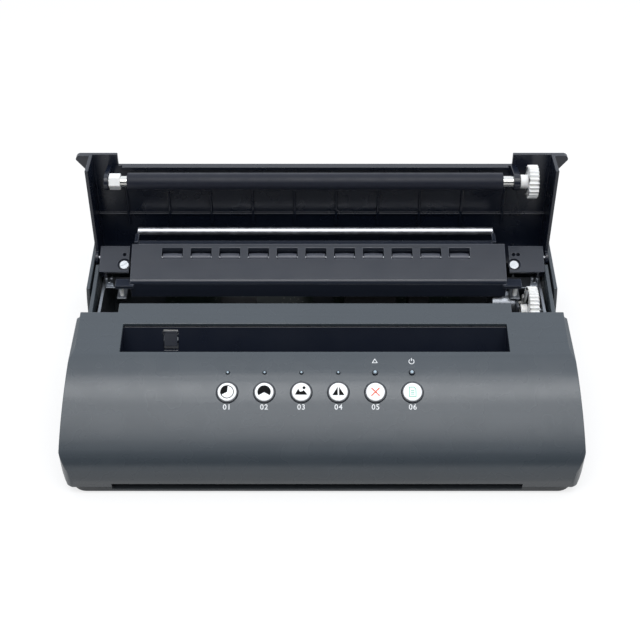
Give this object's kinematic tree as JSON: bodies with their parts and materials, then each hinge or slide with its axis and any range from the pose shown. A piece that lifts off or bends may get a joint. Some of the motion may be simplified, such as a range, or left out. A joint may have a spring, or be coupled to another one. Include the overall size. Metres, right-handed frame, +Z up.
{
  "type": "thermal stencil copier",
  "caption": "Desktop thermal stencil copier with a curved grey casing, white keys, a document slot and a black hinged lid that carries the rubber platen",
  "frame": {"origin": "Centre of the footprint at the height of the surface that the feet stand on, lid open", "axes": "+X to the right seen from the keys, +Y to the rear, +Z up"},
  "size_m": [0.308, 0.1844, 0.1111],
  "materials": {
    "casing_grey": "satin grey moulded ABS, fine texture",
    "lid_black": "satin blue-black moulded ABS",
    "pan_grey": "moulded ABS floor pan",
    "black_plastic": "moulded black ABS",
    "guide_grey": "satin slate grey moulded guide",
    "key_white": "white moulded key, printed symbol",
    "white_acetal": "white moulded acetal",
    "lamp_clear": "clear lamp, unlit",
    "black_rubber": "ground black silicone rubber",
    "roller_grey": "pale grey moulded rubber",
    "bright_steel": "ground and polished steel",
    "zinc_steel": "zinc plated pressed steel",
    "aluminium": "extruded aluminium",
    "ceramic": "glazed ceramic heater strip",
    "glass": "clear float glass",
    "board_green": "green printed circuit board",
    "part_black": "moulded epoxy parts"
  },
  "bodies": {
    "base": {"main_casing": "casing_grey", "base_pan": "pan_grey", "rubber_feet": "black_rubber", "base_screws": "zinc_steel", "key_bezels": "black_plastic", "key_switches": "black_plastic", "key_board": "board_green", "status_lamps": "lamp_clear", "alert_lamps": "lamp_clear", "entry_chute": "black_plastic", "scanner_bar": "black_plastic", "scanner_glass": "glass", "lid_rails": "casing_grey", "side_plate_left": "zinc_steel", "side_plate_right": "zinc_steel", "hinge_pins": "bright_steel", "cross_beam": "zinc_steel", "stencil_guide": "guide_grey", "guide_studs": "white_acetal", "deck_left": "guide_grey", "deck_right": "guide_grey", "deck_screws": "white_acetal", "rear_bar": "guide_grey", "paper_rod": "bright_steel", "lid_catches": "black_plastic", "platen_motor": "zinc_steel", "feed_motor": "zinc_steel", "motor_plates": "zinc_steel", "head_beam": "zinc_steel", "head_springs": "bright_steel", "rear_panel": "casing_grey", "power_inlet": "black_plastic", "switch_case": "black_plastic", "main_board": "board_green", "supply_board": "board_green", "board_parts": "part_black"},
    "lid": {"lid_shell": "lid_black", "platen_brackets": "black_plastic", "hex_bushing": "white_acetal"},
    "platen": {"platen_shaft": "white_acetal", "platen_rubber": "black_rubber", "platen_gear": "white_acetal"},
    "drive": {"drive_gear": "white_acetal"},
    "platen_motor_shaft": {"platen_pinion": "white_acetal"},
    "feed_roller": {"feed_shaft": "bright_steel", "feed_rubber": "black_rubber", "feed_gear": "white_acetal"},
    "feed_motor_shaft": {"feed_pinion": "white_acetal"},
    "idler": {"idler_shaft": "bright_steel", "idler_rollers": "roller_grey"},
    "flag": {"page_flag": "black_plastic"},
    "rocker": {"switch_rocker": "black_plastic"},
    "print_head": {"thermal_head": "ceramic", "head_sink": "aluminium"},
    "key_1": {"key_cap_1": "key_white"},
    "key_2": {"key_cap_2": "key_white"},
    "key_3": {"key_cap_3": "key_white"},
    "key_4": {"key_cap_4": "key_white"},
    "key_5": {"key_cap_5": "key_white"},
    "key_6": {"key_cap_6": "key_white"}
  },
  "joints": [
    {"name": "lid_hinge", "type": "hinge", "parent": "base", "child": "lid", "pos_m": [0, 0.06366, 0.04661], "axis": [1, 0, 0], "range_deg": [0, 101.2]},
    {"name": "platen_spin", "type": "hinge", "parent": "lid", "child": "platen", "pos_m": [0, 0.07311, 0.10051], "axis": [1, 0, 0], "continuous": true},
    {"name": "drive_spin", "type": "hinge", "parent": "base", "child": "drive", "pos_m": [0, 0.02916, 0.03229], "axis": [1, 0, 0], "continuous": true},
    {"name": "platen_pinion_spin", "type": "hinge", "parent": "base", "child": "platen_motor_shaft", "pos_m": [0, 0.0462, 0.02323], "axis": [1, 0, 0], "continuous": true},
    {"name": "feed_spin", "type": "hinge", "parent": "base", "child": "feed_roller", "pos_m": [0, -0.03175, 0.031], "axis": [1, 0, 0], "continuous": true},
    {"name": "feed_pinion_spin", "type": "hinge", "parent": "base", "child": "feed_motor_shaft", "pos_m": [0, -0.0245, 0.01844], "axis": [1, 0, 0], "continuous": true},
    {"name": "idler_spin", "type": "hinge", "parent": "base", "child": "idler", "pos_m": [0, 0.05516, 0.05391], "axis": [1, 0, 0], "continuous": true},
    {"name": "flag_swing", "type": "hinge", "parent": "base", "child": "flag", "pos_m": [0, -0.01375, 0.05478], "axis": [1, 0, 0], "range_deg": [0, 30], "stiffness_Nm_per_rad": 0.0002, "springref_deg": -20.05},
    {"name": "rocker_tilt", "type": "hinge", "parent": "base", "child": "rocker", "pos_m": [0, 0.08736, 0.016], "axis": [1, 0, 0], "range_deg": [-14, 0]},
    {"name": "head_float", "type": "slide", "parent": "base", "child": "print_head", "axis": [0, 0, -1], "range_m": [0, 0.0008], "stiffness_N_per_m": 2500, "springref_m": -0.002, "deforming": ["head_springs"]},
    {"name": "key_1_press", "type": "slide", "parent": "base", "child": "key_1", "axis": [0, 0.4602, -0.8878], "range_m": [0, 0.0006], "stiffness_N_per_m": 300, "springref_m": -0.0005},
    {"name": "key_2_press", "type": "slide", "parent": "base", "child": "key_2", "axis": [0, 0.4602, -0.8878], "range_m": [0, 0.0006], "stiffness_N_per_m": 300, "springref_m": -0.0005},
    {"name": "key_3_press", "type": "slide", "parent": "base", "child": "key_3", "axis": [0, 0.4602, -0.8878], "range_m": [0, 0.0006], "stiffness_N_per_m": 300, "springref_m": -0.0005},
    {"name": "key_4_press", "type": "slide", "parent": "base", "child": "key_4", "axis": [0, 0.4602, -0.8878], "range_m": [0, 0.0006], "stiffness_N_per_m": 300, "springref_m": -0.0005},
    {"name": "key_5_press", "type": "slide", "parent": "base", "child": "key_5", "axis": [0, 0.4602, -0.8878], "range_m": [0, 0.0006], "stiffness_N_per_m": 300, "springref_m": -0.0005},
    {"name": "key_6_press", "type": "slide", "parent": "base", "child": "key_6", "axis": [0, 0.4602, -0.8878], "range_m": [0, 0.0006], "stiffness_N_per_m": 300, "springref_m": -0.0005}
  ],
  "couplings": [
    {"joint": "platen_pinion_spin", "follows": "drive_spin", "ratio": -3},
    {"joint": "feed_pinion_spin", "follows": "feed_spin", "ratio": -2}
  ]
}
